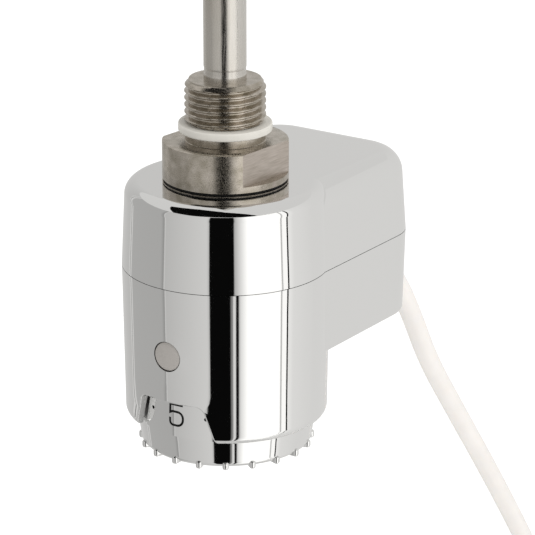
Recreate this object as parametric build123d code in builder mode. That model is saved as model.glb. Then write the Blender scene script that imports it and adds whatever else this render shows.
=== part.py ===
from build123d import *
from math import cos, hypot, pi, radians, sin, sqrt, tan
import os

os.makedirs("parts", exist_ok=True)

# Thermostat head of an electric immersion element for a towel radiator.
# +Z runs up the heater rod, the origin is the centre of the wrench nut's top face,
# the numbered window faces -Y and the mains lead leaves at +Y. Millimetres.

# ---- fitting: nickel-plated brass, G1/2 parallel thread ----
thread_radius = 20.955 / 2
thread_length = 11.4
collar_radius = 10.4
collar_height = 2.4
seal_height = 2.2
seal_radius = 12.2
relief_radius = 8.9
nut_radius = 16.3
nut_across_flats = 27.0
nut_height = 8.4
nut_turn = -5.5
flange_height = 1.7
o_ring_height = 0.65
o_ring_groove_radius = 14.8
o_ring_radius = 16.05
foot_ring_height = 0.1
neck_radius = 9.0
neck_length = 11.5
neck_bore_radius = 6.5
edge_break = 0.4

# ---- heater rod ----
rod_radius = 5.5
rod_wall = 0.6
rod_length = 300.0
rod_socket_depth = 4.0
pin_radius = 0.8
pin_spacing = 5.0
pin_tail = 2.6
disc_thickness = 3.0
sensor_radius = 1.2
sensor_length = 12.0

# ---- head: two chrome-plated shells parted at the seam ----
barrel_radius = 27.05
barrel_draft_up = 2.7
barrel_draft_down = 0.8
box_half_width = 26.1
box_back = 56.9
box_corner_radius = 14.2
box_draft_up = 4.0
box_draft_down = 1.6
head_top_gap = 0.05
upper_height = 22.4
barrel_height = 41.2
box_height = 22.8
barrel_shoulder = 3.65
box_shoulder = 6.85
shell_wall = 2.2
barrel_lip_wall = 2.6
lip_rounding = 2.4
box_rounding = 0.8
seam_gap = 0.15
gasket_inset = 0.5
gasket_width = 1.2

# ---- arched window over the dial numerals ----
window_height = 10.3
window_half_width = 9.3
window_slope = 16.5
window_corner = 2.5
window_edge_radius = 0.4
window_rim_depth = 1.5

# ---- indicator lens ----
lens_radius = 3.9
lens_drop = 18.25
lens_gap = 0.15
lens_flange_width = 1.0
lens_flange_gap = 0.65
led_radius = 1.5
led_length = 6.0

# ---- swivel between fitting and head ----
swivel_clearance = 0.05
bush_wall = 2.0
bush_flange_radius = 14.0
bush_flange_height = 1.2
washer_radius = 13.4
washer_bore_gap = 0.3
washer_height = 0.6
clip_height = 1.0
clip_depth = 0.8
clip_radius = 11.4
stack_gap = 0.05

# ---- chassis, circuit board and what it carries ----
chassis_drop = 23.5
chassis_height = 2.0
chassis_edge_gap = 0.3
chassis_boss_radius = 5.5
chassis_boss_height = 2.0
post_radius = 2.6
post_circle = 17.4
post_start = 60
ledge_depth = 3.2
ledge_height = 1.5
board_drop = 13.2
board_thickness = 1.6
board_edge_gap = 3.65
board_tongue_half_width = 12.0
board_tongue_reach = 29.5
relay_size = (19.0, 15.5, 13.6)
relay_place = (-3.0, 9.2)
capacitor_radius = 4.0
capacitor_length = 11.0
capacitor_place = (13.0, 6.0)
supply_size = (15.0, 9.0, 11.0)
supply_place = (-1.5, -12.5)
fuse_radius = 2.6
fuse_length = 16.0
fuse_place = (-12.2, -7.5)
pot_radius = 8.5
pot_height = 6.0
block_size = (22.0, 10.0, 11.0)
block_y = 22.2
block_pitch = 6.6
block_screw_radius = 1.6
block_mouth_height = 3.0
small_screw_radius = 0.95
small_head_radius = 1.7
small_head_height = 1.0
small_screw_length = 3.2
wire_radius = 0.8
lead_straight = 4.0
lead_drop = 9.0
lead_spread = 6.0
lead_shift = 3.0
lead_bend = 1.8

# ---- shell screws ----
column_radius = 3.2
screw_radius = 1.5
screw_head_radius = 2.7
screw_head_height = 1.8
screw_slot_length = 2.4
screw_slot_width = 0.6
screw_slot_depth = 1.4
counterbore_radius = 3.1
counterbore_depth = 3.4
front_column_x = 18.2
front_column_gap = 2.63
rear_column = (13.0, 46.0)
column_bite = 9.0
column_root = 0.5

# ---- knob ----
knob_radius = 23.4
knob_lip_gap = 0.5
knob_wall = 1.8
knob_band_height = 13.4
knob_skirt = 7.6
knob_taper = 0.8
knob_edge_radius = 1.6
knob_floor = 2.0
nub_count = 20
nub_turn = -2.0
nub_width = 1.7
nub_length = 3.6
nub_height = 2.2
nub_proud = 0.6
nub_drop = 0.6
nub_corner = 0.82
nub_edge = 0.72
hub_radius = 5.6
hub_height = 16.0
spindle_radius = 3.0
spindle_clearance = 0.05
spindle_flat = 0.6
knob_dish_radius = 17.0
knob_dish_depth = 0.6
cap_radius = 6.5
cap_depth = 1.2
cap_gap = 0.1
spindle_foot = 6.0
spindle_reach = 3.5

# ---- dial travel and its stops ----
number_pitch = 41.0
dial_numbers = 7
shown_number = 5
stop_spare = 1.0
stop_post_half_angle = 4.0
stop_inner_radius = 17.2
stop_post_width = 2.4
stop_post_gap = 0.75
stop_height = 3.0

# ---- mains lead, its boot and its clamp ----
cord_radius = 3.0
exit_tilt = 34.0
exit_drop = 7.5
boot_root_radius = 5.8
boot_tip_radius = 4.0
boot_length = 12.0
boot_grooves = (3.4, 5.8, 8.2)
boot_groove_width = 1.0
boot_groove_floor = 4.25
boot_trim = 40.0
boot_neck_radius = 4.2
boot_inner_radius = 5.6
boot_wall_gap = 0.2
boot_inner_length = 3.0
boot_tip_reach = 2.0
tail_length = 12.0
core_lay = 0.27
core_spread = 0.8
core_straight = 2.5
core_drop_start = 4.5
core_drop_end = 5.5
core_bend = 1.4
core_grip = 1.0
clamp_half_width = 9.0
clamp_thickness = 6.0
clamp_height = 5.0
clamp_split = 0.6
clamp_gap = 4.5
clamp_rib_height = 23.8
clamp_screw_offset = 6.2
clamp_screw_length = 11.0

# ---- put-away length: a tied coil, and the plug hanging under it ----
coil_radius = 33.0
coil_turns = 5
coil_rounding = 2.4
coil_skin = 0.2
coil_lead_in = 22.0
coil_tail = 26.0
tie_thickness = 1.2
tie_width = 9.0
tie_gap = 0.5
plug_radius = 18.5
plug_face_height = 17.0
plug_shoulder_height = 14.0
plug_waist = (0.8, 0.42)
plug_bevel = 1.0
plug_slot_gap = 0.4
plug_neck_radius = 6.5
plug_boot_radius = 4.2
plug_boot_length = 22.0
plug_pin_radius = 2.4
plug_pin_length = 19.0
plug_pin_spacing = 19.0
plug_recess_radius = 2.0
earth_strip_width = 5.0
earth_strip_thickness = 0.8

# ---- levels that follow from the sizes above ----
flange_base = -nut_height - flange_height
o_ring_base = flange_base - o_ring_height
fitting_base = o_ring_base - foot_ring_height
neck_end = fitting_base - neck_length
thread_base = collar_height + seal_height
thread_top = thread_base + thread_length
rod_base = -rod_socket_depth
rod_top = thread_top + rod_length
head_top = fitting_base - head_top_gap
ceiling = head_top - shell_wall
seam = head_top - upper_height
barrel_base = seam - barrel_height
box_base = seam - box_height
box_floor = box_base + shell_wall
lip_inner_radius = knob_radius + knob_lip_gap
cavity_radius = barrel_radius - barrel_lip_wall
board_radius = cavity_radius - board_edge_gap
front_column_circle = cavity_radius + column_radius + front_column_gap
front_column = (front_column_x, sqrt(front_column_circle**2 - front_column_x**2))
chassis_top = seam - chassis_drop
chassis_base = chassis_top - chassis_height
ledge_base = chassis_base - ledge_height
board_top = seam - board_drop
board_base = board_top - board_thickness
knob_base = barrel_base - knob_skirt
knob_top = barrel_base + knob_band_height
lens_z = seam - lens_drop


def ring(base, height, outer, inner):
    """Plain ring about the Z axis."""
    with BuildPart() as block:
        with BuildSketch(Plane.XY.offset(base)):
            Circle(outer)
            Circle(inner, mode=Mode.SUBTRACT)
        extrude(amount=height)
    return block.part


# =====================================================================
# Fitting and heater rod, which stay fixed in the radiator
# =====================================================================

with BuildPart() as fitting_body:
    with BuildSketch(Plane.XZ):
        with BuildLine():
            Polyline(
                (rod_radius, thread_top),
                (thread_radius - 1.2, thread_top),
                (thread_radius, thread_top - 1.2),
                (thread_radius, thread_base),
                (relief_radius, thread_base),
                (relief_radius, collar_height),
                (collar_radius, collar_height),
                (collar_radius, 0),
                (nut_radius - edge_break, 0),
                (nut_radius, -edge_break),
                (nut_radius, flange_base),
                (o_ring_groove_radius, flange_base),
                (o_ring_groove_radius, o_ring_base),
                (nut_radius, o_ring_base),
                (nut_radius, fitting_base),
                (neck_radius, fitting_base),
                (neck_radius, neck_end),
                (neck_bore_radius, neck_end),
                (neck_bore_radius, rod_base),
                (rod_radius, rod_base),
                close=True,
            )
        make_face()
    revolve(axis=Axis.Z)
    with BuildSketch(Plane.XY.offset(-nut_height)):
        Circle(2 * nut_radius)
        Rectangle(nut_across_flats, 4 * nut_radius, rotation=nut_turn, mode=Mode.SUBTRACT)
    extrude(amount=nut_height, mode=Mode.SUBTRACT)
    clip_groove_top = ceiling - bush_flange_height - washer_height - 2 * stack_gap
    add(
        ring(clip_groove_top - clip_height - stack_gap, clip_height + 2 * stack_gap,
             2 * neck_radius, neck_radius - clip_depth),
        mode=Mode.SUBTRACT,
    )
fitting_body.part.label = "fitting_body"
export_step(fitting_body.part, "parts/fitting_body.step")

with BuildPart() as thread_seal:
    add(ring(collar_height, seal_height, seal_radius, relief_radius + stack_gap))
    fillet(thread_seal.edges().filter_by(GeomType.CIRCLE).group_by(SortBy.RADIUS)[-1], 0.6)
thread_seal.part.label = "thread_seal"
export_step(thread_seal.part, "parts/thread_seal.step")

with BuildPart() as flange_o_ring:
    add(ring(o_ring_base, o_ring_height, o_ring_radius, o_ring_groove_radius + stack_gap))
    fillet(flange_o_ring.edges().filter_by(GeomType.CIRCLE).group_by(SortBy.RADIUS)[-1], 0.3)
flange_o_ring.part.label = "flange_o_ring"
export_step(flange_o_ring.part, "parts/flange_o_ring.step")

rod_bore = rod_radius - rod_wall
with BuildPart() as heater_sheath:
    with BuildSketch(Plane.XZ):
        with BuildLine():
            Polyline(
                (rod_radius, rod_top - rod_radius),
                (rod_radius, rod_base),
                (rod_bore, rod_base),
                (rod_bore, rod_top - rod_radius),
            )
            RadiusArc((rod_bore, rod_top - rod_radius), (0, rod_top - rod_wall), -rod_bore)
            Line((0, rod_top - rod_wall), (0, rod_top))
            RadiusArc((0, rod_top), (rod_radius, rod_top - rod_radius), rod_radius)
        make_face()
    revolve(axis=Axis.Z)
heater_sheath.part.label = "heater_sheath"
export_step(heater_sheath.part, "parts/heater_sheath.step")

with BuildPart() as heater_core:
    with BuildSketch(Plane.XY.offset(rod_base)):
        Circle(rod_bore - stack_gap)
        with Locations((-pin_spacing / 2, 0), (pin_spacing / 2, 0)):
            Circle(pin_radius, mode=Mode.SUBTRACT)
    extrude(amount=rod_top - rod_base - rod_radius - rod_wall)
heater_core.part.label = "heater_core"
export_step(heater_core.part, "parts/heater_core.step")

with BuildPart() as terminal_pins:
    with BuildSketch(Plane.XY.offset(neck_end - pin_tail)):
        with Locations((-pin_spacing / 2, 0), (pin_spacing / 2, 0)):
            Circle(pin_radius - stack_gap)
    extrude(amount=rod_top - rod_length / 2 - neck_end + pin_tail)
terminal_pins.part.label = "terminal_pins"
export_step(terminal_pins.part, "parts/terminal_pins.step")

with BuildPart() as ceramic_disc:
    with BuildSketch(Plane.XY.offset(neck_end)):
        Circle(neck_bore_radius - stack_gap)
        with Locations((-pin_spacing / 2, 0), (pin_spacing / 2, 0)):
            Circle(pin_radius + stack_gap, mode=Mode.SUBTRACT)
        with Locations((0, pin_spacing - sensor_radius)):
            Circle(sensor_radius + stack_gap, mode=Mode.SUBTRACT)
    extrude(amount=disc_thickness)
ceramic_disc.part.label = "ceramic_disc"
export_step(ceramic_disc.part, "parts/ceramic_disc.step")

with BuildPart() as sensor_capsule:
    with BuildSketch(Plane.XY.offset(neck_end - pin_tail / 2)):
        with Locations((0, pin_spacing - sensor_radius)):
            Circle(sensor_radius)
    extrude(amount=sensor_length)
    fillet(sensor_capsule.edges().group_by(Axis.Z)[-1], sensor_radius / 2)
sensor_capsule.part.label = "sensor_capsule"
export_step(sensor_capsule.part, "parts/sensor_capsule.step")

with BuildPart() as retaining_clip:
    with BuildSketch(Plane.XY.offset(clip_groove_top - clip_height)):
        Circle(clip_radius)
        Circle(neck_radius - clip_depth + stack_gap, mode=Mode.SUBTRACT)
        with Locations((0, -clip_radius)):
            Rectangle(clip_radius * 0.8, clip_radius, mode=Mode.SUBTRACT)
    extrude(amount=clip_height)
retaining_clip.part.label = "retaining_clip"
export_step(retaining_clip.part, "parts/retaining_clip.step")

# =====================================================================
# Head: everything that swivels on the fitting's neck
# =====================================================================


def box_plan(inset, mode=Mode.ADD):
    """Straight sides and a wide rounded back, drawn in by inset. Used inside a sketch."""
    with BuildSketch(mode=Mode.PRIVATE) as plan:
        Rectangle(2 * (box_half_width - inset), box_back - inset, align=(Align.CENTER, Align.MIN))
        fillet(plan.vertices().group_by(Axis.Y)[-1], box_corner_radius - inset)
    add(plan.sketch, mode=mode)


def upper_block(inset, top):
    """Barrel and box from the seam up to top, each rounded there by its own shoulder."""
    with BuildPart() as barrel:
        with BuildSketch(Plane.XY.offset(seam)):
            Circle(barrel_radius - inset)
        extrude(amount=top - seam, taper=barrel_draft_up)
        fillet(barrel.faces().sort_by(Axis.Z)[-1].edges(), barrel_shoulder - inset)
    with BuildPart() as block:
        with BuildSketch(Plane.XY.offset(seam)):
            box_plan(inset)
        extrude(amount=top - seam, taper=box_draft_up)
        top_edges = block.faces().sort_by(Axis.Z)[-1].edges()
        fillet(top_edges - top_edges.group_by(Axis.Y)[0], box_shoulder - inset)
        add(barrel.part)
    return block.part


def columns(base, top, radius):
    """Four upright cylinders on the shell-screw centres."""
    with BuildPart() as block:
        with BuildSketch(Plane.XY.offset(base)):
            for x, y in (front_column, rear_column):
                with Locations((x, y), (-x, y)):
                    Circle(radius)
        extrude(amount=top - base)
    return block.part


neck_hole_radius = neck_radius + swivel_clearance + bush_wall

with BuildPart() as upper_housing:
    add(upper_block(0, head_top))
    add(upper_block(shell_wall, ceiling), mode=Mode.SUBTRACT)
    add(columns(seam, ceiling + column_root, column_radius))
    add(columns(seam, seam + column_bite, screw_radius), mode=Mode.SUBTRACT)
    with Locations((0, 0, head_top)):
        Hole(neck_hole_radius, depth=shell_wall * 2)
upper_housing.part.label = "upper_housing"
export_step(upper_housing.part, "parts/upper_housing.step")


def lower_block(inset, barrel_bottom, box_bottom):
    """Barrel and shorter box from the seam down, drawn in by inset."""
    with BuildPart() as block:
        with BuildSketch(Plane.XY.offset(seam - seam_gap)):
            Circle(barrel_radius - inset)
        extrude(amount=barrel_bottom - seam + seam_gap, taper=barrel_draft_down)
        with BuildSketch(Plane.XY.offset(seam - seam_gap)):
            box_plan(inset)
        extrude(amount=box_bottom - seam + seam_gap, taper=box_draft_down)
    return block.part


# the lead leaves through the back wall on an axis tilted down
exit_z = seam - exit_drop
exit_y = box_back - exit_drop * tan(radians(box_draft_down))
exit_axis = Vector(0, cos(radians(exit_tilt)), -sin(radians(exit_tilt)))
exit_point = Vector(0, exit_y, exit_z)
exit_plane = Plane(origin=exit_point, x_dir=(1, 0, 0), z_dir=exit_axis)
clamp_start = -shell_wall / cos(radians(exit_tilt)) - boot_inner_length - clamp_gap - clamp_thickness
clamp_plane = exit_plane.offset(clamp_start)

clamp_hole_plane = Plane(
    origin=clamp_plane.offset(clamp_thickness / 2).origin, x_dir=(1, 0, 0), z_dir=-clamp_plane.y_dir
)
lens_plane = Plane(origin=(0, -barrel_radius, lens_z), x_dir=(1, 0, 0), z_dir=(0, 1, 0))
ledge_screw_circle = cavity_radius - ledge_depth + small_head_radius - 0.2
window_top = barrel_base + window_height
window_foot = window_half_width + (window_height + lip_rounding) * tan(radians(window_slope))

with BuildPart() as window_cut:
    with BuildSketch(Plane.XZ) as window_outline:
        with BuildLine():
            Polyline(
                (-window_half_width, window_top),
                (window_half_width, window_top),
                (window_foot, barrel_base - lip_rounding),
                (-window_foot, barrel_base - lip_rounding),
                close=True,
            )
        make_face()
        fillet(window_outline.vertices().group_by(Axis.Y)[-1], window_corner)
    extrude(amount=2 * barrel_radius)


def on_window_rim(edge):
    """True for the window's outer edges, which run over the barrel's skin."""
    middle = edge.center()
    near = abs(middle.X) < window_foot and middle.Y < 0 and middle.Z < window_top + window_edge_radius
    skin = hypot(middle.X, middle.Y) > barrel_radius - window_rim_depth
    return near and skin and edge.geom_type != GeomType.LINE


with BuildPart() as lower_housing:
    add(lower_block(0, barrel_base, box_base))
    lip_edges = lower_housing.faces().sort_by(Axis.Z)[0].edges()
    fillet(lip_edges, lip_rounding)
    box_edges = lower_housing.faces().filter_by(Axis.Z).group_by(Axis.Z)[-2].edges()
    fillet(box_edges.filter_by(lambda edge: edge.center().Y > barrel_radius * 0.5), box_rounding)
    with BuildSketch(Plane.XY.offset(barrel_base)):
        Circle(lip_inner_radius)
    extrude(amount=seam - barrel_base, mode=Mode.SUBTRACT)
    with BuildSketch(Plane.XY.offset(chassis_base)):
        Circle(cavity_radius)
    extrude(amount=seam - chassis_base, mode=Mode.SUBTRACT)
    with BuildSketch(Plane.XY.offset(seam)):
        box_plan(shell_wall)
    extrude(amount=box_floor - seam, taper=box_draft_down, mode=Mode.SUBTRACT)
    add(ring(ledge_base, ledge_height, cavity_radius + 0.5, cavity_radius - ledge_depth))
    add(columns(box_base + shell_wall / 2, seam - seam_gap, column_radius))
    with BuildSketch(clamp_plane):
        Rectangle(2 * clamp_half_width, clamp_rib_height, align=(Align.CENTER, Align.MIN))
        Circle(cord_radius + swivel_clearance, mode=Mode.SUBTRACT)
    extrude(amount=clamp_thickness)
    with BuildSketch(Plane.XY.offset(chassis_base)):
        Circle(cavity_radius)
    extrude(amount=seam - chassis_base, mode=Mode.SUBTRACT)
    with BuildSketch(clamp_hole_plane):
        with Locations((-clamp_screw_offset, 0), (clamp_screw_offset, 0)):
            Circle(screw_radius)
    extrude(amount=-clamp_screw_length, mode=Mode.SUBTRACT)
    add(columns(box_base, seam, screw_radius), mode=Mode.SUBTRACT)
    add(columns(box_base - 1, box_base + counterbore_depth, counterbore_radius), mode=Mode.SUBTRACT)
    with BuildSketch(exit_plane.offset(boot_length)):
        Circle(boot_neck_radius + stack_gap)
    extrude(amount=-boot_length - 3 * shell_wall, mode=Mode.SUBTRACT)
    add(window_cut.part, mode=Mode.SUBTRACT)
    fillet(lower_housing.edges().filter_by(on_window_rim), window_edge_radius)
    with BuildSketch(lens_plane):
        Circle(lens_radius + lens_gap)
    extrude(amount=lens_radius * 2, mode=Mode.SUBTRACT)
    with BuildSketch(Plane.XY.offset(ledge_base)):
        with PolarLocations(ledge_screw_circle, 3, start_angle=90):
            Circle(small_screw_radius)
    extrude(amount=chassis_height, mode=Mode.SUBTRACT)
lower_housing.part.label = "lower_housing"
export_step(lower_housing.part, "parts/lower_housing.step")

with BuildPart() as housing_gasket:
    with BuildSketch(Plane.XY.offset(seam - seam_gap)):
        Circle(barrel_radius - gasket_inset)
        box_plan(gasket_inset)
        Circle(barrel_radius - gasket_inset - gasket_width, mode=Mode.SUBTRACT)
        box_plan(gasket_inset + gasket_width, mode=Mode.SUBTRACT)
    extrude(amount=seam_gap)
housing_gasket.part.label = "housing_gasket"
export_step(housing_gasket.part, "parts/housing_gasket.step")

with BuildPart() as swivel_bush:
    bush_inner = neck_radius + swivel_clearance
    add(ring(ceiling, shell_wall, neck_hole_radius, bush_inner))
    add(ring(ceiling - bush_flange_height, bush_flange_height, bush_flange_radius, bush_inner))
swivel_bush.part.label = "swivel_bush"
export_step(swivel_bush.part, "parts/swivel_bush.step")

with BuildPart() as thrust_washer:
    washer_top = ceiling - bush_flange_height - stack_gap
    add(ring(washer_top - washer_height, washer_height, washer_radius, neck_radius + washer_bore_gap))
thrust_washer.part.label = "thrust_washer"
export_step(thrust_washer.part, "parts/thrust_washer.step")

with BuildPart() as indicator_lens:
    with BuildSketch(lens_plane):
        Circle(lens_radius)
    extrude(amount=barrel_lip_wall + lens_flange_gap + lens_flange_width)
    with BuildSketch(Plane.XY.offset(lens_z - 2 * lens_radius)):
        Circle(barrel_radius - lens_drop * tan(radians(barrel_draft_down)) - stack_gap)
    extrude(amount=4 * lens_radius, mode=Mode.INTERSECT)
    with BuildSketch(lens_plane.offset(barrel_lip_wall + lens_flange_gap)):
        Circle(lens_radius + lens_flange_width)
    extrude(amount=lens_flange_width)
indicator_lens.part.label = "indicator_lens"
export_step(indicator_lens.part, "parts/indicator_lens.step")

lens_back_y = -barrel_radius + barrel_lip_wall + lens_flange_gap + lens_flange_width
with BuildPart() as indicator_led:
    with BuildSketch(lens_plane.offset(lens_back_y + barrel_radius + stack_gap)):
        Circle(led_radius)
    extrude(amount=led_length)
    with BuildSketch(Plane.XY.offset(lens_z)):
        with Locations((0, lens_back_y + led_length - led_radius)):
            Rectangle(2 * led_radius, led_radius)
    extrude(amount=board_base - lens_z)
indicator_led.part.label = "indicator_led"
export_step(indicator_led.part, "parts/indicator_led.step")

# ---- chassis: carries the board, guides the spindle and stops the dial ----
spindle_hole_radius = spindle_radius + spindle_clearance
stop_travel = (dial_numbers - 1) * number_pitch + 2 * stop_spare
stop_rib_half_angle = (360 - stop_travel) / 2 - stop_post_half_angle
highest_turn = shown_number * number_pitch
lowest_turn = (shown_number - dial_numbers + 1) * number_pitch
stop_middle = (highest_turn + lowest_turn) / 2
stop_post_angle = 90
stop_rib_angle = stop_post_angle + 180 - stop_middle


def sector(outer, inner, middle, half_angle):
    """Ring sector centred on the direction middle, in degrees. Used inside a sketch."""
    turns = [radians(middle + k * half_angle) for k in (-1, 0, 1)]
    with BuildLine() as outline:
        outside = ThreePointArc(*[(outer * cos(t), outer * sin(t)) for t in turns])
        inside = ThreePointArc(*[(inner * cos(t), inner * sin(t)) for t in turns])
        Line(outside @ 0, inside @ 0)
        Line(outside @ 1, inside @ 1)
    make_face(outline.edges())


knob_inner_radius = knob_radius - knob_wall
stop_post_outer = knob_inner_radius - stop_post_gap
with BuildPart() as chassis_plate:
    with BuildSketch(Plane.XY.offset(chassis_base)):
        Circle(cavity_radius - chassis_edge_gap)
        with PolarLocations(ledge_screw_circle, 3, start_angle=90):
            Circle(small_screw_radius + swivel_clearance, mode=Mode.SUBTRACT)
    extrude(amount=chassis_height)
    with BuildSketch(Plane.XY.offset(chassis_base - chassis_boss_height)):
        Circle(chassis_boss_radius)
    extrude(amount=chassis_boss_height)
    with BuildSketch(Plane.XY.offset(chassis_top)):
        with PolarLocations(post_circle, 3, start_angle=post_start):
            Circle(post_radius)
    extrude(amount=board_base - chassis_top)
    with BuildSketch(Plane.XY.offset(chassis_top)):
        with PolarLocations(post_circle, 3, start_angle=post_start):
            Circle(small_screw_radius)
    extrude(amount=board_base - chassis_top, mode=Mode.SUBTRACT)
    with BuildSketch(Plane.XY.offset(chassis_base - stop_height - ledge_height)):
        sector(stop_post_outer, stop_post_outer - stop_post_width, stop_post_angle, stop_post_half_angle)
    extrude(amount=stop_height + ledge_height)
    with BuildSketch(Plane.XY.offset(chassis_base - chassis_boss_height)):
        Circle(spindle_hole_radius)
    extrude(amount=chassis_boss_height + chassis_height, mode=Mode.SUBTRACT)
chassis_plate.part.label = "chassis_plate"
export_step(chassis_plate.part, "parts/chassis_plate.step")


def pan_head_screw(length):
    """Small screw with its head seated at the current locations. Used inside a part."""
    Cylinder(small_screw_radius - stack_gap, length, align=(Align.CENTER, Align.CENTER, Align.MAX))
    Cylinder(small_head_radius, small_head_height, align=(Align.CENTER, Align.CENTER, Align.MIN))


with BuildPart() as chassis_screws:
    with Locations(Plane.XY.offset(chassis_top)):
        with PolarLocations(ledge_screw_circle, 3, start_angle=90):
            pan_head_screw(small_screw_length)
chassis_screws.part.label = "chassis_screws"
export_step(chassis_screws.part, "parts/chassis_screws.step")

with BuildPart() as circuit_board:
    with BuildSketch(Plane.XY.offset(board_base)):
        Circle(board_radius)
        Rectangle(
            2 * board_tongue_half_width, board_tongue_reach, align=(Align.CENTER, Align.MIN)
        )
        with PolarLocations(post_circle, 3, start_angle=post_start):
            Circle(small_screw_radius + swivel_clearance, mode=Mode.SUBTRACT)
    extrude(amount=board_thickness)
circuit_board.part.label = "circuit_board"
export_step(circuit_board.part, "parts/circuit_board.step")

with BuildPart() as board_screws:
    with Locations(Plane.XY.offset(board_top)):
        with PolarLocations(post_circle, 3, start_angle=post_start):
            pan_head_screw(2 * small_screw_length)
board_screws.part.label = "board_screws"
export_step(board_screws.part, "parts/board_screws.step")

with BuildPart() as power_relay:
    with Locations(Plane.XY.offset(board_top)):
        with Locations(relay_place):
            Box(*relay_size, align=(Align.CENTER, Align.CENTER, Align.MIN))
    fillet(power_relay.edges().filter_by(Axis.Z), 0.6)
power_relay.part.label = "power_relay"
export_step(power_relay.part, "parts/power_relay.step")

with BuildPart() as filter_capacitor:
    with Locations(Plane.XY.offset(board_top)):
        with Locations(capacitor_place):
            Cylinder(capacitor_radius, capacitor_length, align=(Align.CENTER, Align.CENTER, Align.MIN))
    fillet(filter_capacitor.edges().group_by(Axis.Z)[-1], 0.5)
filter_capacitor.part.label = "filter_capacitor"
export_step(filter_capacitor.part, "parts/filter_capacitor.step")

with BuildPart() as supply_block:
    with Locations(Plane.XY.offset(board_top)):
        with Locations(supply_place):
            Box(*supply_size, align=(Align.CENTER, Align.CENTER, Align.MIN))
supply_block.part.label = "supply_block"
export_step(supply_block.part, "parts/supply_block.step")

with BuildPart() as thermal_fuse:
    with Locations(Plane(origin=(fuse_place[0], fuse_place[1], board_top + fuse_radius), z_dir=(0, 1, 0))):
        Cylinder(fuse_radius, fuse_length)
thermal_fuse.part.label = "thermal_fuse"
export_step(thermal_fuse.part, "parts/thermal_fuse.step")

pot_base = board_base - pot_height
with BuildPart() as dial_potentiometer:
    with BuildSketch(Plane.XY.offset(pot_base)):
        Circle(pot_radius)
        Circle(spindle_hole_radius, mode=Mode.SUBTRACT)
    extrude(amount=pot_height)
dial_potentiometer.part.label = "dial_potentiometer"
export_step(dial_potentiometer.part, "parts/dial_potentiometer.step")

block_ways = 3
block_xs = [block_pitch * (k - (block_ways - 1) / 2) for k in range(block_ways)]
with BuildPart() as terminal_block:
    with Locations((0, block_y, board_top)):
        Box(*block_size, align=(Align.CENTER, Align.CENTER, Align.MIN))
    for x in block_xs:
        with Locations((x, block_y, board_top + block_size[2])):
            Hole(block_screw_radius + swivel_clearance, depth=block_size[2] / 2)
        block_mouth = (x, block_y + block_size[1] / 2, board_top + block_mouth_height)
        with BuildSketch(Plane(origin=block_mouth, z_dir=(0, 1, 0))):
            Circle(wire_radius + swivel_clearance)
        extrude(amount=-block_size[1] / 2, mode=Mode.SUBTRACT)
terminal_block.part.label = "terminal_block"
export_step(terminal_block.part, "parts/terminal_block.step")

with BuildPart() as terminal_screws:
    for x in block_xs:
        with Locations((x, block_y, board_top + block_size[2] / 2)):
            Cylinder(block_screw_radius, block_size[2] / 2 - 1, align=(Align.CENTER, Align.CENTER, Align.MIN))
terminal_screws.part.label = "terminal_screws"
export_step(terminal_screws.part, "parts/terminal_screws.step")

# ---- shell screws, driven up from the underside of the box ----
with BuildPart() as housing_screws:
    head_seat = box_base + counterbore_depth
    head_face = head_seat - screw_head_height
    add(columns(head_seat, seam + column_bite - 1, screw_radius - stack_gap))
    add(columns(head_face, head_seat, screw_head_radius))
    for x, y in (front_column, rear_column):
        with Locations((x, y, head_face), (-x, y, head_face)):
            Box(screw_slot_length, screw_slot_width, screw_slot_depth, mode=Mode.SUBTRACT)
            Box(screw_slot_width, screw_slot_length, screw_slot_depth, mode=Mode.SUBTRACT)
housing_screws.part.label = "housing_screws"
export_step(housing_screws.part, "parts/housing_screws.step")

# ---- lead entry: moulded boot, jacket end, clamp and cores ----
wall_behind = exit_plane.offset(-2 * shell_wall - boot_inner_length)
with BuildPart() as boot_outside:
    with BuildSketch(exit_plane.offset(-shell_wall)):
        Circle(boot_root_radius)
    with BuildSketch(exit_plane.offset(boot_length)):
        Circle(boot_tip_radius)
    loft()
    for groove in boot_grooves:
        with BuildSketch(exit_plane.offset(groove)):
            Circle(2 * boot_root_radius)
            Circle(boot_groove_floor, mode=Mode.SUBTRACT)
        extrude(amount=boot_groove_width, mode=Mode.SUBTRACT)
    with Locations((0, exit_y - boot_trim / 2 + boot_wall_gap, exit_z)):
        Box(boot_trim, boot_trim, boot_trim, mode=Mode.SUBTRACT)

with BuildPart() as boot_inside:
    with BuildSketch(wall_behind):
        Circle(boot_inner_radius)
    extrude(amount=2 * boot_inner_length)
    with Locations((0, exit_y - shell_wall - boot_wall_gap + boot_trim / 2, exit_z)):
        Box(boot_trim, boot_trim, boot_trim, mode=Mode.SUBTRACT)

with BuildPart() as cord_boot:
    with BuildSketch(wall_behind):
        Circle(boot_neck_radius)
    extrude(amount=2 * shell_wall + boot_inner_length + boot_tip_reach)
    add(boot_outside.part)
    add(boot_inside.part)
cord_boot.part.label = "cord_boot"
export_step(cord_boot.part, "parts/cord_boot.step")

with BuildPart() as cord_tail:
    with BuildSketch(wall_behind):
        Circle(cord_radius)
    extrude(amount=-tail_length)
cord_tail.part.label = "cord_tail"
export_step(cord_tail.part, "parts/cord_tail.step")

with BuildPart() as cord_clamp:
    with BuildSketch(clamp_plane):
        with Locations((0, -clamp_split)):
            Rectangle(2 * clamp_half_width, clamp_height, align=(Align.CENTER, Align.MAX))
        Circle(cord_radius + swivel_clearance, mode=Mode.SUBTRACT)
    extrude(amount=clamp_thickness)
    with BuildSketch(clamp_hole_plane):
        with Locations((-clamp_screw_offset, 0), (clamp_screw_offset, 0)):
            Circle(screw_radius + swivel_clearance)
    extrude(amount=2 * clamp_height, mode=Mode.SUBTRACT)
cord_clamp.part.label = "cord_clamp"
export_step(cord_clamp.part, "parts/cord_clamp.step")

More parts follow.
